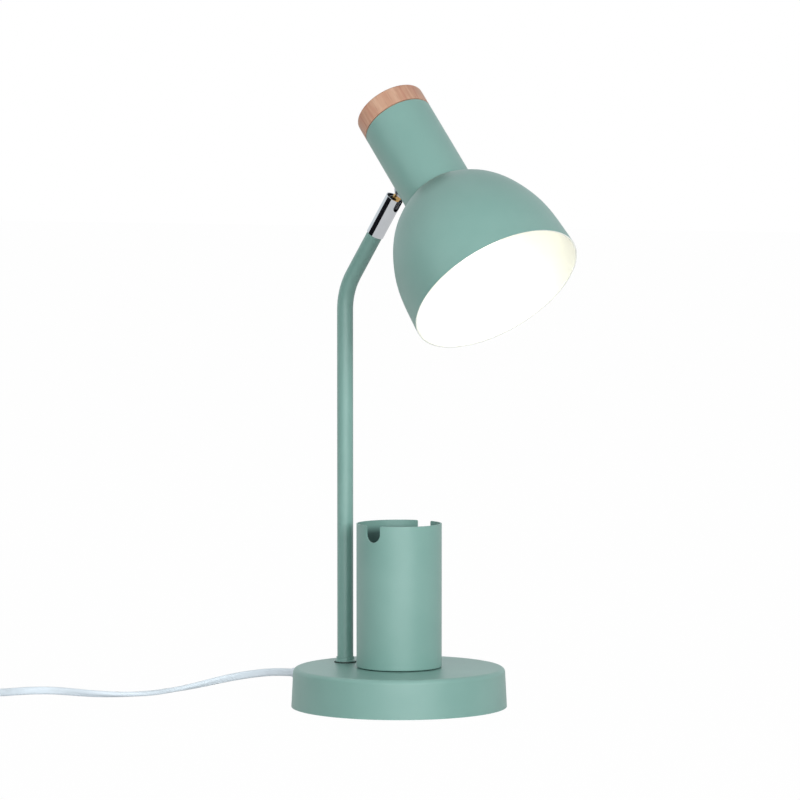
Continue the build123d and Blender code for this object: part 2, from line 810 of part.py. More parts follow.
def cord_bush():
    wall_out = base_radius - base_draft * (cord_exit_height - bush_flange_diameter / 2 - base_lift)
    wall_in = base_radius - base_draft * (cord_exit_height + bush_flange_diameter / 2 - base_lift)
    inner_face = wall_in - shell_wall - bush_flange_diameter**2 / 8 / wall_in - hole_gap
    flange_face = wall_out + hole_gap
    sleeve_start_y = flange_face + bush_flange_thickness
    tip = sleeve_start_y + bush_sleeve_length
    flange = disc(bush_flange_diameter, flange_face, sleeve_start_y)
    flange = fillet(flange.edges().sort_by(Axis.Z)[-1], bush_flange_thickness / 2)
    back = disc(bush_flange_diameter, inner_face - bush_flange_thickness, inner_face)
    neck = disc(bush_neck_diameter, inner_face, flange_face)
    sleeve = Pos(0, 0, sleeve_start_y) * Cone(
        bush_sleeve_thick / 2, bush_sleeve_thin / 2, bush_sleeve_length, align=on_floor
    )
    bush = flange + back + neck + sleeve
    step = bush_sleeve_length / (bush_grooves + 2)
    for i in range(bush_grooves):
        along = step * (i + 1.5)
        thick = bush_sleeve_thick - (bush_sleeve_thick - bush_sleeve_thin) * along / bush_sleeve_length
        middle = sleeve_start_y + along
        bush -= ring(bush_flange_diameter, thick - 2 * bush_groove_depth, middle - step / 5, middle + step / 5)
    bush -= disc(cord_diameter + 2 * fit_gap, cord_inside_end, tip + 1)
    held = disc(cord_diameter, cord_inside_end, route_to_switch[0][1])
    return along_y(bush, 0, cord_exit_height), along_y(held, 0, cord_exit_height)


def coil_line():
    """One winding: in on the bottom layer, up a layer in the innermost half turn, out on the top."""
    x0, y0 = coil_middle
    low, high = cord_floor, cord_floor + coil_layer
    lead = cord_diameter
    at = Vector(x0, y0 + coil_outer_radius, low)
    pieces = [Line(at + Vector(lead, 0, 0), at)]
    radius = coil_outer_radius
    side = 1

    def half_turn(at, radius, side):
        end = at - Vector(0, 2 * radius * side, 0)
        beside = at - Vector(radius * side, radius * side, 0)
        return ThreePointArc(at, beside, end), end

    for _ in range(2 * coil_turns):
        arc, at = half_turn(at, radius, side)
        pieces.append(arc)
        radius -= coil_pitch / 2
        side = -side
    reach = sqrt(radius**2 + (coil_layer / 2) ** 2)
    top = at + Vector(0, -2 * radius * side, coil_layer)
    middle = Vector(x0 - reach * side, (at.Y + top.Y) / 2, (low + high) / 2)
    first = TangentArc(at, middle, tangent=(-side, 0, 0))
    pieces += [first, TangentArc(middle, top, tangent=first % 1)]
    at = top
    side = -side
    for _ in range(2 * coil_turns - 1):
        radius += coil_pitch / 2
        arc, at = half_turn(at, radius, side)
        pieces.append(arc)
        side = -side
    radius += coil_pitch / 2
    end = at + Vector(-radius * side, -radius * side, 0)
    pieces.append(TangentArc(at, end, tangent=(-side, 0, 0)))
    pieces.append(Line(end, end - Vector(0, lead * side, 0)))
    return Wire(pieces)


def least_gap(line):
    """The narrowest gap between stretches of the winding, measured on points along it."""
    count = 1500
    points = [line @ (i / count) for i in range(count + 1)]
    step = line.length / count
    skip = int(4 * cord_diameter / step)
    least = min(
        (points[i] - points[j]).length
        for i in range(0, count + 1, 2)
        for j in range(i + skip, count + 1)
        if abs(points[i].X - points[j].X) < 2 * cord_diameter
    )
    return least - cord_diameter


def cord_coil():
    line = coil_line()
    coil = tube_along(line, cord_diameter)
    print("cord_coil length", round(line.length, 1), "least gap", round(least_gap(line), 2))
    expected = pi * cord_diameter**2 / 4 * line.length
    print("cord_coil volume over section times length", round(coil.volume / expected, 4))
    end = line @ 1
    return coil, line.length, (end.X, end.Y, end.Z)


def switch_block(height, inset=0.0):
    corner = max(switch_corner - inset, 0.5)
    face = RectangleRounded(switch_length - 2 * inset, switch_width - 2 * inset, corner)
    return extrude(face, height)


def switch_posts():
    for side in (-1, 1):
        yield side * switch_screw_spacing / 2


def switch_tray():
    tray = switch_block(tray_height)
    tray = fillet(tray.edges().group_by(Axis.Z)[0], 2.0)
    tray -= Pos(0, 0, switch_wall) * switch_block(tray_height, switch_wall)
    post = switch_screw_diameter + 2 * switch_wall
    for x in switch_posts():
        tray += disc(post, 0.5, tray_height, x)
        tray -= disc(switch_screw_head + 2 * hole_gap, -1, 2.0, x)
        tray -= disc(switch_screw_diameter + 2 * fit_gap, 0, tray_height + 1, x)
    for side in (-1, 1):
        radius = switch_nose_diameter / 2
        root = switch_wall / 2
        nose = Cone(radius, radius - 0.6, switch_nose_length + root, align=on_floor)
        place = Pos(side * (switch_length / 2 - root), 0, switch_cord_height - ground_gap)
        tray += place * Rot(0, side * 90, 0) * nose
    return tray


def window_length():
    """The window clears the corners of the rocker when it leans to either side."""
    lean = radians(rocker_lean)
    return 2 * (rocker_length / 2 * cos(lean) + rocker_crown * sin(lean) + rocker_gap)


def window_width():
    return rocker_width + 2 * rocker_gap


def switch_lid():
    lid = switch_block(lid_height)
    lid = fillet(lid.edges().group_by(Axis.Z)[-1], 3.0)
    lid -= Pos(0, 0, -switch_wall) * switch_block(lid_height, switch_wall)
    frame = 2 * rocker_pin_length + 0.4
    lid += Box(window_length() + frame, window_width() + frame, lid_height - 0.5, align=on_floor)
    lid -= Box(window_length(), window_width(), 3 * lid_height)
    pivot = rocker_pivot_height - tray_height
    hole_reach = window_width() + 2 * rocker_pin_length + hole_gap
    lid -= Pos(0, 0, pivot) * Rot(90, 0, 0) * Cylinder(rocker_pin_diameter / 2 + turn_gap, hole_reach)
    post = switch_screw_diameter + 2 * switch_wall
    for x in switch_posts():
        lid += disc(post, 0, lid_height - 1, x)
        lid -= disc(switch_screw_diameter + 2 * fit_gap, -1, lid_height - 2.0, x)
    return lid


def switch_rocker():
    half = rocker_length / 2
    boss = rocker_pin_diameter
    top = ThreePointArc((-half, rocker_crown), (0, rocker_crown - rocker_dip), (half, rocker_crown))
    sides = Polyline((half, rocker_crown), (half - 0.6, -boss / 2), (boss / 2, -boss), (-boss / 2, -boss),
                     (-half + 0.6, -boss / 2), (-half, rocker_crown))
    key = extrude(make_face(Curve() + [top, sides]), rocker_width)
    key = Rot(90, 0, 0) * Pos(0, 0, -rocker_width / 2) * key
    pins = Rot(90, 0, 0) * Cylinder(rocker_pin_diameter / 2, window_width() + 2 * rocker_pin_length)
    return Rot(0, rocker_lean, 0) * (key + pins)


def switch():
    x, y = switch_middle
    place = Pos(x, y, ground_gap)
    screws = []
    for offset in switch_posts():
        head = disc(switch_screw_head, 0.6, 2.0, offset)
        shank = disc(switch_screw_diameter, 2.0, tray_height + lid_height - 2.5, offset)
        screws.append(place * (head + shank).solid())
    lid = place * Pos(0, 0, tray_height) * switch_lid()
    return place * switch_tray(), lid, place * Pos(0, 0, rocker_pivot_height) * switch_rocker(), screws


def plug():
    grip_corner = plug_thickness / 2 - 0.6
    face = RectangleRounded(plug_width, plug_thickness, grip_corner)
    neck = RectangleRounded(plug_nose_diameter + 4, plug_nose_diameter + 1.4, plug_nose_diameter / 2)
    grip = extrude(face, plug_grip_length)
    taper_top = plug_grip_length + plug_taper_length
    taper = loft([Pos(0, 0, plug_grip_length) * face, Pos(0, 0, taper_top) * neck])
    nose_top = taper_top + plug_nose_length
    nose = disc(plug_nose_diameter, taper_top, nose_top)
    step = plug_nose_length / 6
    for i in range(4):
        middle = taper_top + step * (i + 1.6)
        nose -= ring(2 * plug_nose_diameter, plug_nose_diameter - 1.6, middle - step / 4, middle + step / 4)
    body = grip + taper + nose
    body = fillet(body.edges().sort_by(Axis.Z)[0:8], 0.8)
    pins = []
    sleeves = []
    for side in (-1, 1):
        x = side * pin_spacing / 2
        core = disc(pin_core_diameter, -pin_sleeve_length, 0, x)
        tip = disc(pin_diameter, -pin_length, -pin_sleeve_length, x)
        tip = fillet(tip.edges().sort_by(Axis.Z)[0], pin_diameter * 0.35)
        pins.append((core + tip).solid())
        bore = pin_core_diameter + 2 * fit_gap
        sleeve = ring(pin_diameter - 0.2, bore, fit_gap - pin_sleeve_length, -fit_gap, x)
        sleeves.append(sleeve.solid())
    place = Pos(plug_tip[0], plug_tip[1], plug_thickness / 2 + ground_gap) * Rot(-90, 0, 0) * Pos(0, 0, -nose_top)
    return place * body, [place * p for p in pins], [place * s for s in sleeves]


def build():
    os.makedirs("parts", exist_ok=True)

    save("base_shell", base_shell())
    save("base_weight", base_weight())
    save("base_plate", base_plate())
    save("plate_screws", *plate_screws())
    save("non_slip_pad", non_slip_pad())

    save("pen_cup", pen_cup())
    for name, piece in zip(("cup_spacer", "cup_washer", "cup_screw"), cup_fixings()):
        save(name, piece)

    save("pole", pole())
    foot_names = ("pole_gasket", "pole_collar", "foot_nipple", "foot_plate", "foot_washer", "foot_nut")
    for name, piece in zip(foot_names, pole_foot()):
        save(name, piece)

    save("knuckle_sleeve", knuckle_sleeve())
    save("hinge_rivets", *hinge_rivets())
    save("friction_washers", *friction_washers())
    save("elbow_ball", elbow_ball())
    save("elbow_nipple", elbow_nipple())
    for name, piece in zip(("elbow_washer", "elbow_nut"), elbow_fixings()):
        save(name, piece)

    save("neck_bush", head_frame * neck_bush())
    save("inner_saddle", head_frame * inner_saddle())
    save("shade", head_frame * shade())
    save("wood_cap", head_frame * wood_cap())
    for name, piece in zip(("wood_insert", "cap_screw"), cap_fixings()):
        save(name, head_frame * piece)
    save("holder_bracket", head_frame * holder_bracket())
    save("lampholder_body", head_frame * lampholder_body())
    socket, contact, screws, terminals = lampholder_fittings()
    save("socket_shell", head_frame * socket)
    save("centre_contact", head_frame * contact)
    save("holder_screws", *[head_frame * s for s in screws])
    save("terminal_screws", *[head_frame * t for t in terminals])
    for name, piece in zip(("bulb_glass", "bulb_cap", "bulb_contact"), bulb()):
        save(name, head_frame * piece)

    save("stem_leads", *stem_leads())
    save("head_leads", *[head_frame * lead for lead in head_leads()])
    for name, piece in zip(("cord_bush", "cord_inner"), cord_bush()):
        save(name, piece)

    total = 0.0
    coil, length, coil_end = cord_coil()
    save("cord_coil", coil)
    stretches = {
        "cord_to_switch": route_to_switch,
        "cord_from_switch": route_from_switch,
        "cord_to_plug": [coil_end] + route_to_plug,
    }
    for name, points in stretches.items():
        tube, stretch = cord_stretch(name, points)
        save(name, tube)
        total += stretch
    tray, lid, rocker, screws = switch()
    save("switch_tray", tray)
    save("switch_lid", lid)
    save("switch_rocker", rocker)
    save("switch_screws", *screws)
    body, pins, sleeves = plug()
    save("plug_body", body)
    save("plug_pins", *pins)
    save("pin_sleeves", *sleeves)
    through_switch = switch_length + 2 * switch_nose_length
    print("cord from base to plug", round(total + length + through_switch + bush_sleeve_length))

    hinge = pin_frame.position
    spigot = elbow_frame * Pos(0, 0, 1)
    way = spigot.position - hinge
    print("hinge pin", hinge)
    print("swivel axis", way)
    print("neck centre", head_frame.position)


build()
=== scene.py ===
import json
import math
import bpy
from mathutils import Matrix, Vector


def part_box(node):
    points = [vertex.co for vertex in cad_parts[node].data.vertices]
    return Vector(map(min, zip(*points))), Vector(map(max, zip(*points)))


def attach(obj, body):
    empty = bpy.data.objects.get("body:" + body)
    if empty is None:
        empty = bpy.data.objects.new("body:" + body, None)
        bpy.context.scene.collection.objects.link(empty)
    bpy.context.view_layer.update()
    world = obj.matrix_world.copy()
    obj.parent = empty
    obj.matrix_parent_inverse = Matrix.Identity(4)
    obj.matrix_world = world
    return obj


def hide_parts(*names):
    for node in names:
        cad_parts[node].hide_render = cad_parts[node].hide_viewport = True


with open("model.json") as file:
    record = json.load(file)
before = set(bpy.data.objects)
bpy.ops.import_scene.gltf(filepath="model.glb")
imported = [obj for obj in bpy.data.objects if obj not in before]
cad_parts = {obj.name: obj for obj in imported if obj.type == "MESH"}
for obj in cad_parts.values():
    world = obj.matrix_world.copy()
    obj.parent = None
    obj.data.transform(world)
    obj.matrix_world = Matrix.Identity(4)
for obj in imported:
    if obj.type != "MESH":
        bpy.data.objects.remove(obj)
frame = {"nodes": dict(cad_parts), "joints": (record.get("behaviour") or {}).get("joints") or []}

scene = bpy.context.scene
nodes = frame["nodes"]
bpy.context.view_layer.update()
print("frame loaded,", len(nodes), "nodes")

mm = 0.001
white = (1, 1, 1, 1)


def toLinear(rgb):
    # finishes are given as 0-255 screen colours and turned into linear ones here, by the sRGB curve
    out = []
    for value in rgb:
        value = value / 255
        out.append(value / 12.92 if value <= 0.04045 else ((value + 0.055) / 1.055) ** 2.4)
    return (*out, 1.0)


# camera, solved from the ellipses of the base, the cup and the shade's mouth in the photograph
camera = {
    "place": (-2.5063, -1.9449, 0.4153),
    "turn": (90 - 3.386, 0.0, -52.2),  # it looks 3.386 degrees down
    "lens": 193.5,
    "sensor": 36.0,
    "clip": (0.05, 60),
}
cameraData = bpy.data.cameras.new("photoCamera")
cameraData.lens = camera["lens"]
cameraData.sensor_width = camera["sensor"]
cameraData.clip_start, cameraData.clip_end = camera["clip"]
cameraObject = bpy.data.objects.new("photoCamera", cameraData)
cameraObject.location = camera["place"]
cameraObject.rotation_euler = [math.radians(a) for a in camera["turn"]]
scene.collection.objects.link(cameraObject)
scene.camera = cameraObject
print("camera placed")


# cord: a flat twin, on edge where it leaves the base and where it leaves the picture, flat in between
cord = {
    # in metres
    "length": 1.78,
    "exit": (0.0, 0.1018, 0.0175),
    # the section in mm: powers below 1 make it fuller than an ellipse, and the waist is a shallow
    # hollow on both broad sides, with its spread as a share of half the width
    "width": 5.8,
    "thickness": 3.8,
    "endPower": 0.72,
    "sidePower": 0.86,
    "waistDepth": 0.12,
    "waistSpread": 0.24,
    "sectionPoints": 32,
    "smoothSteps": 8,
    # x, y, z in mm and the twist in degrees: 90 stands on edge, 0 lies flat
    "toSwitch": [
        (0.0, 96.0, 17.5, 90), (0.0, 112.0, 17.4, 90), (0.1, 135.0, 14.7, 90), (-9.0, 158.0, 10.1, 70),
        (-28.0, 175.4, 4.4, 35), (-45.7, 184.1, 2.1, 5), (-71.0, 185.8, 1.9, 0), (-88.8, 199.4, 2.0, 20),
        (-98.0, 213.5, 2.3, 45), (-102.4, 231.5, 2.7, 68), (-105.6, 248.8, 2.9, 84),
        (-115.2, 262.0, 2.9, 90), (-129.4, 268.6, 2.9, 90), (-145.1, 268.0, 3.7, 90),
        (-155.0, 268.0, 6.0, 90), (-164.0, 268.0, 6.0, 90),
    ],
    "throughSwitch": [
        (-182.0, 268.0, 6.0, 90), (-200.0, 268.1, 6.0, 90), (-218.0, 268.0, 6.0, 90),
        (-236.0, 268.0, 6.0, 90), (-245.0, 268.0, 5.9, 90), (-260.0, 268.0, 2.9, 90),
        (-272.0, 268.0, 2.9, 90),
    ],
    "toPlug": [
        (-321.0, 219.0, 9.0, 90), (-321.0, 210.0, 8.9, 90), (-321.0, 198.0, 7.0, 90),
        (-321.0, 184.0, 6.95, 90),
    ],
    # two layers of turns on edge, in mm
    "coilMiddle": (-278.0, 225.0),
    "coilRadius": 43.0,
    "coilPitch": 6.2,
    "coilTurns": 3,
    "coilLow": 2.9,
    "coilLayer": 6.1,
    "coilTwist": 90,
    "pointsPerHalfTurn": 6,
}


def coilPoints(sizes):
    # half turns joined end to end: in on the low layer, up on the innermost one, out on the high layer
    pitch, low, layer = sizes["coilPitch"], sizes["coilLow"], sizes["coilLayer"]
    inward = [sizes["coilRadius"] - k * pitch / 2 for k in range(2 * sizes["coilTurns"])]
    radii = inward + [inward[-1] - pitch / 2] + inward[::-1]
    count = sizes["pointsPerHalfTurn"]
    step = 180 / count
    points = []
    x, y = sizes["coilMiddle"]
    y += sizes["coilRadius"]
    side = 1
    for number, radius in enumerate(radii):
        centreY = y - side * radius
        reach = radius / math.cos(math.radians(step / 2))
        steps = count // 2 if number == len(radii) - 1 else count  # the last one stops halfway
        for k in range(steps):
            angle = math.radians(90 * side + step * (k + 0.5))
            if number < len(inward):
                z = low
            elif number == len(inward):
                z = low + layer * (k + 0.5) / count
            else:
                z = low + layer
            across, along = reach * math.cos(angle), reach * math.sin(angle)
            points.append((x + across, centreY + along, z, sizes["coilTwist"]))
        y -= 2 * radius * side
        side = -side
    return points


def signedPower(value, power):
    return math.copysign(abs(value) ** power, value)


def flatTwinSection(sizes):
    halfWidth, halfThick = sizes["width"] / 2, sizes["thickness"] / 2
    points = []
    for k in range(sizes["sectionPoints"]):
        angle = 2 * math.pi * k / sizes["sectionPoints"]
        across = halfWidth * signedPower(math.cos(angle), sizes["endPower"])
        up = halfThick * signedPower(math.sin(angle), sizes["sidePower"])
        hollow = math.exp(-(across / (sizes["waistSpread"] * halfWidth)) ** 2)
        points.append((across, up * (1 - sizes["waistDepth"] / halfThick * hollow), 0.0))
    return points


def makeProfile(sizes):
    data = bpy.data.curves.new("cordSection", "CURVE")
    data.dimensions = "2D"
    loop = data.splines.new("POLY")
    section = flatTwinSection(sizes)
    loop.points.add(len(section) - 1)
    for point, place in zip(loop.points, section):
        point.co = (*place, 1.0)
    loop.use_cyclic_u = True
    profile = bpy.data.objects.new("cordSection", data)
    profile.hide_render = True
    scene.collection.objects.link(profile)
    return profile


def makeCord(sizes):
    profile = makeProfile(sizes)
    data = bpy.data.curves.new("mainsCord", "CURVE")
    data.dimensions = "3D"
    data.twist_mode = "Z_UP"
    data.resolution_u = sizes["smoothSteps"]
    data.bevel_mode = "OBJECT"
    data.bevel_object = profile
    data.use_fill_caps = True
    route = sizes["toSwitch"] + sizes["throughSwitch"] + coilPoints(sizes) + sizes["toPlug"]
    line = data.splines.new("NURBS")
    line.points.add(len(route) - 1)
    for point, (x, y, z, twist) in zip(line.points, route):
        point.co = (x * mm, y * mm, z * mm, 1.0)
        point.tilt = math.radians(twist)
        point.radius = mm  # the section is drawn in mm
    line.order_u = 3
    line.use_endpoint_u = True
    line.use_smooth = True
    piece = bpy.data.objects.new("mainsCord", data)
    scene.collection.objects.link(piece)
    return piece


mainsCord = makeCord(cord)
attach(mainsCord, "stand")
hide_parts("cord_to_switch", "cord_from_switch", "cord_coil", "cord_to_plug")
print("cord laid")


# materials

def feed(tree, value, socket):
    # a value is another node's output or a constant
    if isinstance(value, bpy.types.NodeSocket):
        tree.links.new(value, socket)
    else:
        socket.default_value = value


def addNode(tree, kind, *values, **named):
    # named ones are settings of the node or values for its sockets, and the rest are for its first sockets
    node = tree.nodes.new(kind)
    for name, value in named.items():
        if name in node.inputs:
            feed(tree, value, node.inputs[name])
        else:
            setattr(node, name, value)
    for value, socket in zip(values, node.inputs):
        feed(tree, value, socket)
    return node


def emptyMaterial(name):
    material = bpy.data.materials.new(name)
    material.use_nodes = True
    material.node_tree.nodes.clear()
    return material, material.node_tree


def newMaterial(name):
    material, tree = emptyMaterial(name)
    shader = addNode(tree, "ShaderNodeBsdfPrincipled")
    addNode(tree, "ShaderNodeOutputMaterial", Surface=shader.outputs["BSDF"])
    return material, tree, shader


def objectCoordinates(tree, scale=(1, 1, 1), turn=(0, 0, 0), move=(0, 0, 0)):
    source = addNode(tree, "ShaderNodeTexCoord")
    mapping = addNode(tree, "ShaderNodeMapping", source.outputs["Object"], vector_type="TEXTURE",
                      Location=move, Rotation=turn, Scale=[1 / s for s in scale])
    return mapping.outputs["Vector"]


def noise(tree, at, scale=1.0, detail=3, roughness=0.5):
    node = addNode(tree, "ShaderNodeTexNoise", Vector=at, Scale=scale, Detail=detail, Roughness=roughness)
    return node.outputs["Fac"]


def spreadTo(tree, fac, low, high, fromLow=0.3, fromHigh=0.7):
    # the default ends suit noise, which keeps mostly between 0.3 and 0.7
    node = addNode(tree, "ShaderNodeMapRange", fac, fromLow, fromHigh, low, high)
    return node.outputs["Result"]


def colourRamp(tree, fac, stops):
    node = addNode(tree, "ShaderNodeValToRGB", fac)
    ramp = node.color_ramp
    while len(ramp.elements) < len(stops):
        ramp.elements.new(0.5)
    for element, (place, rgb) in zip(ramp.elements, stops):
        element.position = place
        element.color = toLinear(rgb)
    return node.outputs["Color"]


def twoTones(tree, fac, dark, light, places=(0.3, 0.7)):
    return colourRamp(tree, fac, list(zip(places, (dark, light))))


def mixColours(tree, fac, first, second):
    node = addNode(tree, "ShaderNodeMix", data_type="RGBA", Factor=fac, A=first, B=second)
    return node.outputs["Result"]


def bump(tree, shader, height, distance, strength=1.0):
    node = addNode(tree, "ShaderNodeBump", Height=height, Distance=distance, Strength=strength)
    feed(tree, node.outputs["Normal"], shader.inputs["Normal"])


paint = {
    "light": (126, 164, 155), "dark": (120, 159, 150), "clouds": 22, "cloudPlaces": (0.35, 0.65),
    "grain": 1500, "grainDepth": 0.00003, "roughness": (0.36, 0.46), "shine": 0.75,
    # deep inside the cup the sage is darkened as painted shade: its colour there, and in metres how far
    # below the rim the colour is still unshaded and over what height it darkens
    "thin": (58, 83, 79), "unshadedBelowRim": 0.0035, "thinsOver": 0.006,
}


def sagePaint(name, look, unshadedAbove=None):
    material, tree, shader = newMaterial(name)
    at = objectCoordinates(tree)
    clouds = noise(tree, at, look["clouds"])
    grain = noise(tree, at, look["grain"], detail=2)
    colour = twoTones(tree, clouds, look["dark"], look["light"], look["cloudPlaces"])
    # below the given height the colour darkens towards the painted shade colour
    if unshadedAbove:
        height = addNode(tree, "ShaderNodeSeparateXYZ", at).outputs["Z"]
        thin = spreadTo(tree, height, 1.0, 0.0, unshadedAbove - look["thinsOver"], unshadedAbove)
        colour = mixColours(tree, thin, colour, toLinear(look["thin"]))
    feed(tree, colour, shader.inputs["Base Color"])
    feed(tree, spreadTo(tree, grain, *look["roughness"]), shader.inputs["Roughness"])
    shader.inputs["Specular IOR Level"].default_value = look["shine"]
    bump(tree, shader, grain, look["grainDepth"])
    return material


# noise scales are per metre and depths are in metres
coats = {
    "whiteInside": dict(light=(255, 254, 246), dark=(252, 251, 243), roughness=(0.5, 0.6), depth=0.00001),
    "castIron": dict(light=(70, 70, 72), dark=(48, 48, 50), roughness=(0.6, 0.85),
                     clouds=120, grain=700, depth=0.00025),
    "blackRubber": dict(light=(38, 38, 38), dark=(26, 26, 26), roughness=(0.6, 0.8), depth=0.00004),
    "blackFoam": dict(light=(46, 46, 47), dark=(24, 24, 25), roughness=(0.85, 0.98),
                      clouds=900, grain=1400, depth=0.0003),
    "porcelain": dict(light=(244, 243, 238), dark=(236, 235, 230), roughness=(0.12, 0.2),
                      depth=0.00001, glaze=0.5),
    "whiteCord": dict(light=(230, 238, 245), dark=(224, 233, 241), roughness=(0.34, 0.46),
                      clouds=30, grain=500),
    "whiteMoulding": dict(light=(236, 238, 240), dark=(230, 232, 235), roughness=(0.28, 0.4),
                          clouds=50, grain=1800),
    "blackMoulding": dict(light=(40, 40, 42), dark=(28, 28, 30), roughness=(0.4, 0.55)),
    "coreSheath": dict(light=(226, 224, 216), dark=(214, 212, 205), roughness=(0.35, 0.5)),
}


def plainCoat(name, light, dark, roughness, clouds=60, grain=900, depth=0.00002, glaze=0.0):
    material, tree, shader = newMaterial(name)
    at = objectCoordinates(tree)
    fine = noise(tree, at, grain)
    feed(tree, twoTones(tree, noise(tree, at, clouds), dark, light), shader.inputs["Base Color"])
    feed(tree, spreadTo(tree, fine, *roughness), shader.inputs["Roughness"])
    shader.inputs["Coat Weight"].default_value = glaze
    bump(tree, shader, fine, depth)
    return material


metals = {
    "zincSteel": dict(light=(194, 197, 202), dark=(180, 183, 189), roughness=(0.26, 0.36)),
    "chromeTube": dict(light=(206, 209, 212), dark=(198, 201, 205), roughness=(0.05, 0.10),
                       marks=(60, 60, 60), depth=0.00002),
    "brassTurned": dict(light=(206, 168, 108), dark=(195, 156, 97), roughness=(0.2, 0.27)),
    "blackSteel": dict(light=(64, 66, 70), dark=(40, 42, 46), roughness=(0.18, 0.3), marks=(300, 300, 300)),
    "bulbMetal": dict(light=(205, 206, 208), dark=(186, 187, 190), roughness=(0.22, 0.34)),
}


def turnedMetal(name, light, dark, roughness, marks=(4000, 4000, 200), depth=0.000004):
    # fine tool marks, drawn out along the axis whose scale is low
    material, tree, shader = newMaterial(name)
    fine = noise(tree, objectCoordinates(tree, scale=marks), detail=4, roughness=0.6)
    feed(tree, twoTones(tree, fine, dark, light), shader.inputs["Base Color"])
    feed(tree, spreadTo(tree, fine, *roughness), shader.inputs["Roughness"])
    shader.inputs["Metallic"].default_value = 1.0
    bump(tree, shader, fine, depth)
    return material


# the head's own frame: its middle is where the stem's axis meets the neck's, and z runs from the bulb
# to the wooden cap
head = {
    "swing": -7.6,  # degrees that the head is turned about the stem
    "neckOffset": 0.040444,  # from the hinge pin along the stem to the middle of the neck
    "collarStart": 0.00955,  # from the hinge pin along the stem to just below the nipple's collar
}
swivel = next(joint for joint in frame["joints"] if joint["name"] == "head_swivel")
pinMiddle, stemAxis = Vector(swivel["pos_m"]), Vector(swivel["axis"])
headMiddle = pinMiddle + stemAxis * head["neckOffset"]
stemTurn = Vector((0, 0, 1)).rotation_difference(stemAxis).to_matrix()
swing = Matrix.Rotation(math.radians(head["swing"]), 3, "Z")
headTurn = stemTurn @ swing @ Matrix.Rotation(math.radians(-90), 3, "X")
intoHead = headTurn.transposed()

wood = {
    "pale": (209, 168, 142), "middle": (193, 146, 121), "warm": (183, 121, 101), "pore": (138, 94, 76),
    "pith": (0.047, 0.031, 0.0),  # in the head's frame, outside the cap
    # noise scales per metre: out from the pith, along the grain, for what bends the rings, for the pores
    "rings": 430, "drift": 20, "wobbles": (70, 70, 12), "wobble": 0.5, "ringPlaces": (0.3, 0.5, 0.68),
    "pores": (900, 900, 55), "porePlaces": (0.56, 0.72), "poreShare": 0.6,
    "poreDepth": 0.00004, "poreStrength": 0.6, "roughness": (0.4, 0.55),
}


def growthRings(tree, at, wobble, look):
    fromPith = addNode(tree, "ShaderNodeVectorMath", at, look["pith"], operation="SUBTRACT")
    flat = addNode(tree, "ShaderNodeVectorMath", fromPith.outputs["Vector"], (1, 1, 0), operation="MULTIPLY")
    distance = addNode(tree, "ShaderNodeVectorMath", flat.outputs["Vector"], operation="LENGTH")
    ring = addNode(tree, "ShaderNodeMath", distance.outputs["Value"], look["rings"], wobble,
                   operation="MULTIPLY_ADD")
    along = addNode(tree, "ShaderNodeSeparateXYZ", at).outputs["Z"]
    drift = addNode(tree, "ShaderNodeMath", along, look["drift"], operation="MULTIPLY")
    place = addNode(tree, "ShaderNodeCombineXYZ", ring.outputs["Value"], drift.outputs["Value"])
    return noise(tree, place.outputs["Vector"], detail=3, roughness=0.6)


def turnedWood(name, look):
    # growth rings about a pith beside the cap: streaks on its side, arcs on its end
    material, tree, shader = newMaterial(name)
    turn = headTurn.to_euler()
    uneven = noise(tree, objectCoordinates(tree, look["wobbles"], turn), detail=2)
    wobble = spreadTo(tree, uneven, 0.0, look["wobble"])
    rings = growthRings(tree, objectCoordinates(tree, turn=turn, move=headMiddle), wobble, look)
    pores = noise(tree, objectCoordinates(tree, look["pores"], turn), detail=5, roughness=0.65)
    tones = (look["warm"], look["middle"], look["pale"])
    base = colourRamp(tree, rings, list(zip(look["ringPlaces"], tones)))
    poreShare = spreadTo(tree, pores, 0.0, look["poreShare"], *look["porePlaces"])
    colour = mixColours(tree, poreShare, base, toLinear(look["pore"]))
    feed(tree, colour, shader.inputs["Base Color"])
    feed(tree, spreadTo(tree, pores, *look["roughness"]), shader.inputs["Roughness"])
    bump(tree, shader, pores, look["poreDepth"], look["poreStrength"])
    return material


glow = {
    "light": (255, 254, 248), "dark": (250, 248, 240), "clouds": 40, "roughness": 0.25,
    "colour": (255, 250, 234), "strength": 1.8,
}


def litGlass(name, look):
    material, tree, shader = newMaterial(name)
    clouds = noise(tree, objectCoordinates(tree), look["clouds"])
    feed(tree, twoTones(tree, clouds, look["dark"], look["light"]), shader.inputs["Base Color"])
    shader.inputs["Roughness"].default_value = look["roughness"]
    shader.inputs["Emission Color"].default_value = toLinear(look["colour"])
    shader.inputs["Emission Strength"].default_value = look["strength"]
    return material


cupLow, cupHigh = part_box("pen_cup")
cupMiddle = (cupLow + cupHigh) / 2
# sage that darkens deep inside the cup, as painted shade
thinSage = sagePaint("sagePaintCupShade", paint, cupHigh.z - paint["unshadedBelowRim"])
finishes = {
    "sagePaint": sagePaint("sagePaint", paint),
    "turnedBeech": turnedWood("turnedBeech", wood),
    "opalGlass": litGlass("opalGlass", glow),
}
for name, look in coats.items():
    finishes[name] = plainCoat(name, **look)
for name, look in metals.items():
    finishes[name] = turnedMetal(name, **look)

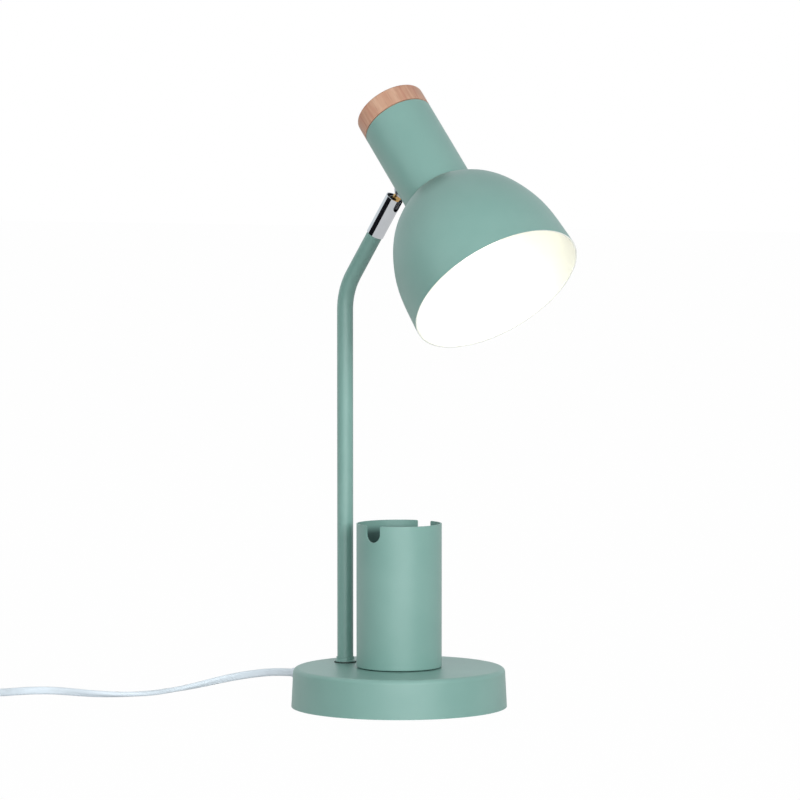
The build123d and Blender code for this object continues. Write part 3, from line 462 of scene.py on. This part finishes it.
wornBy = {
    "sagePaint": ["base_shell", "pen_cup", "pole", "pole_collar", "shade"],
    "castIron": ["base_weight"],
    "zincSteel": [
        "base_plate", "plate_screws", "cup_screw", "cup_washer",
        "foot_nipple", "foot_plate", "foot_washer", "foot_nut",
        "friction_washers", "neck_bush", "inner_saddle", "elbow_washer", "elbow_nut",
        "holder_bracket", "holder_screws", "cap_screw", "switch_screws",
    ],
    "chromeTube": ["knuckle_sleeve", "hinge_rivets"],
    "blackSteel": ["elbow_ball"],
    "brassTurned": [
        "elbow_nipple", "wood_insert", "socket_shell", "centre_contact", "terminal_screws", "plug_pins",
    ],
    "bulbMetal": ["bulb_cap", "bulb_contact"],
    "blackRubber": ["pole_gasket", "cup_spacer"],
    "blackFoam": ["non_slip_pad"],
    "turnedBeech": ["wood_cap"],
    "porcelain": ["lampholder_body"],
    "opalGlass": ["bulb_glass"],
    "whiteCord": ["cord_inner", "cord_bush"],
    "whiteMoulding": ["switch_tray", "switch_lid", "switch_rocker", "plug_body"],
    "blackMoulding": ["pin_sleeves"],
    "coreSheath": ["stem_leads", "head_leads"],
}
for finish, worn in wornBy.items():
    for node in worn:
        nodes[node].data.materials.clear()
        nodes[node].data.materials.append(finishes[finish])
mainsCord.data.materials.append(finishes["whiteCord"])

# a face counts as inside when it looks inwards at least this squarely, 1 being straight
inside = {"shadeWall": 0.15, "shadeRim": 0.8, "cupWall": 0.5, "cupFloor": 0.5}


def outwards(place, normal):
    # 1 where a face looks straight away from the z axis, -1 where it looks straight at it
    return normal.dot(Vector((place.x, place.y, 0)).normalized())


def secondFinish(node, material, takesIt):
    mesh = nodes[node].data
    mesh.materials.append(material)
    for face in mesh.polygons:
        if takesIt(face):
            face.material_index = 1


def insideShade(face):
    # the inner wall, and the rim's edge, which looks out of the mouth
    normal = intoHead @ face.normal
    facing = outwards(intoHead @ (face.center - headMiddle), normal)
    return facing < -inside["shadeWall"] or normal.z < -inside["shadeRim"]


def insideCup(face):
    onFloor = face.normal.z > inside["cupFloor"] and face.center.z < cupMiddle.z
    return onFloor or outwards(face.center - cupMiddle, face.normal) < -inside["cupWall"]


def aboveStem(face):
    # the stem stays bare brass, and its collar and spigot are zinc-plated
    return (face.center - pinMiddle).dot(stemAxis) > head["collarStart"]


secondFinish("shade", finishes["whiteInside"], insideShade)
# the cup's inner faces take the sage with painted shade deep inside
secondFinish("pen_cup", thinSage, insideCup)
secondFinish("elbow_nipple", finishes["zincSteel"], aboveStem)
# in the photograph the chrome doesn't mirror the head
nodes["shade"].visible_glossy = False
print("materials set")


# stage and light, with colours as linear values

studio = {
    # azimuth and height in degrees as seen from the aim, distance and size in metres, power in watts
    "boxes": {
        "frontBox": dict(azimuth=-134, height=7, distance=2.3, size=(2.2, 0.95), power=24.0, mirrored=True),
        "sideLamp": dict(azimuth=-112, height=15, distance=2.3, size=(1.0, 1.0), power=23.0, mirrored=False),
        "leftLamp": dict(azimuth=150, height=15, distance=1.7, size=(0.8, 0.8), power=6.4, mirrored=False),
        "backLamp": dict(azimuth=48, height=24, distance=2.4, size=(1.4, 1.0), power=6.0, mirrored=False),
    },
    "aim": (0, 0, 0.22),
    "boxColour": (0.94, 0.985, 1.0),
    # the world's strength at the horizon and overhead, and the sine of the height where the latter starts
    "horizon": 0.24,
    "zenith": 0.34,
    "zenithFrom": 0.7,
    "mirrorColour": (0.92, 0.975, 1.0, 1),
    # the floor lies just under the cord's lowest edge
    "floorSize": 30,
    "floorHeight": -0.0004,
    "floorColour": (0.6, 0.6, 0.6, 1),
    "floorCameraShare": 0.99,
    "floorMirrorShare": 0.7,
    # the dark end of the room, which only mirrors see
    "flagAngles": (119, 174),
    "flagRadius": 0.86,
    "flagHeight": 0.56,
    "flagSteps": 16,
    "flagColour": (0.02, 0.02, 0.025, 1),
}


def softBox(name, aim, colour, azimuth, height, distance, size, power, mirrored):
    data = bpy.data.lights.new(name, "AREA")
    data.energy = power
    data.color = colour
    data.shape = "RECTANGLE"
    data.size, data.size_y = size
    lamp = bpy.data.objects.new(name, data)
    turn, lift = math.radians(azimuth), math.radians(height)
    away = Vector((math.cos(lift) * math.cos(turn), math.cos(lift) * math.sin(turn), math.sin(lift)))
    lamp.location = Vector(aim) + away * distance
    lamp.rotation_euler = away.to_track_quat("Z", "Y").to_euler()
    lamp.visible_camera = False
    lamp.visible_glossy = mirrored
    scene.collection.objects.link(lamp)


def mirrorRays(tree, rays):
    glossy, through = rays.outputs["Is Glossy Ray"], rays.outputs["Is Transmission Ray"]
    return addNode(tree, "ShaderNodeMath", glossy, through, operation="MAXIMUM").outputs["Value"]


def mixShaders(tree, share, first, second):
    return addNode(tree, "ShaderNodeMixShader", share, first, second).outputs["Shader"]


def backdrop(tree, colour, strength):
    return addNode(tree, "ShaderNodeBackground", Color=colour, Strength=strength).outputs["Background"]


def makeWorld(room):
    # it lights the lamp softly, mirrors see it pale, and the camera sees it white
    world = bpy.data.worlds.new("studio")
    scene.world = world
    world.use_nodes = True
    tree = world.node_tree
    tree.nodes.clear()
    rays = addNode(tree, "ShaderNodeLightPath")
    direction = addNode(tree, "ShaderNodeTexCoord").outputs["Generated"]
    height = addNode(tree, "ShaderNodeSeparateXYZ", direction).outputs["Z"]
    strength = spreadTo(tree, height, room["horizon"], room["zenith"], 0.0, room["zenithFrom"])
    lighting, mirrored = backdrop(tree, white, strength), backdrop(tree, room["mirrorColour"], 1.0)
    unseen = mixShaders(tree, mirrorRays(tree, rays), lighting, mirrored)
    surface = mixShaders(tree, rays.outputs["Is Camera Ray"], unseen, backdrop(tree, white, 1.0))
    addNode(tree, "ShaderNodeOutputWorld", Surface=surface)


def makeFloor(room):
    bpy.ops.mesh.primitive_plane_add(size=room["floorSize"], location=(0, 0, room["floorHeight"]))
    floor = bpy.context.object
    floor.name = "studioFloor"
    material, tree = emptyMaterial("studioFloor")
    paper = addNode(tree, "ShaderNodeBsdfDiffuse", Color=room["floorColour"])
    bright = addNode(tree, "ShaderNodeEmission", Color=white, Strength=1.0)
    rays = addNode(tree, "ShaderNodeLightPath")
    inMirrors = addNode(tree, "ShaderNodeMath", mirrorRays(tree, rays), room["floorMirrorShare"],
                        operation="MULTIPLY")
    share = addNode(tree, "ShaderNodeMath", rays.outputs["Is Camera Ray"], room["floorCameraShare"],
                    inMirrors.outputs["Value"], operation="MULTIPLY_ADD")
    top = mixShaders(tree, share.outputs["Value"], paper.outputs["BSDF"], bright.outputs["Emission"])
    # from below the floor is clear, so that the underside can be looked at
    fromBelow = addNode(tree, "ShaderNodeNewGeometry").outputs["Backfacing"]
    clear = addNode(tree, "ShaderNodeBsdfTransparent").outputs["BSDF"]
    addNode(tree, "ShaderNodeOutputMaterial", Surface=mixShaders(tree, fromBelow, top, clear))
    floor.data.materials.append(material)


def makeFlag(room):
    # a dark curved wall, left of the camera, that puts the black stripe on the chrome
    steps = room["flagSteps"]
    low, high = (math.radians(a) for a in room["flagAngles"])
    mesh = bpy.data.meshes.new("darkFlag")
    points, faces = [], []
    for k in range(steps + 1):
        angle = low + (high - low) * k / steps
        x, y = room["flagRadius"] * math.cos(angle), room["flagRadius"] * math.sin(angle)
        points += [(x, y, 0.0), (x, y, room["flagHeight"])]
    for k in range(steps):
        faces.append((2 * k, 2 * k + 2, 2 * k + 3, 2 * k + 1))
    mesh.from_pydata(points, [], faces)
    flag = bpy.data.objects.new("darkFlag", mesh)
    material, tree = emptyMaterial("darkFlag")
    black = addNode(tree, "ShaderNodeBsdfDiffuse", Color=room["flagColour"])
    addNode(tree, "ShaderNodeOutputMaterial", Surface=black.outputs["BSDF"])
    mesh.materials.append(material)
    scene.collection.objects.link(flag)
    flag.visible_camera = False
    flag.visible_diffuse = False
    flag.visible_shadow = False
    flag.visible_transmission = False


for name, box in studio["boxes"].items():
    softBox(name, studio["aim"], studio["boxColour"], **box)
makeWorld(studio)
makeFloor(studio)
makeFlag(studio)
scene.view_settings.view_transform = "Standard"
print("stage set")
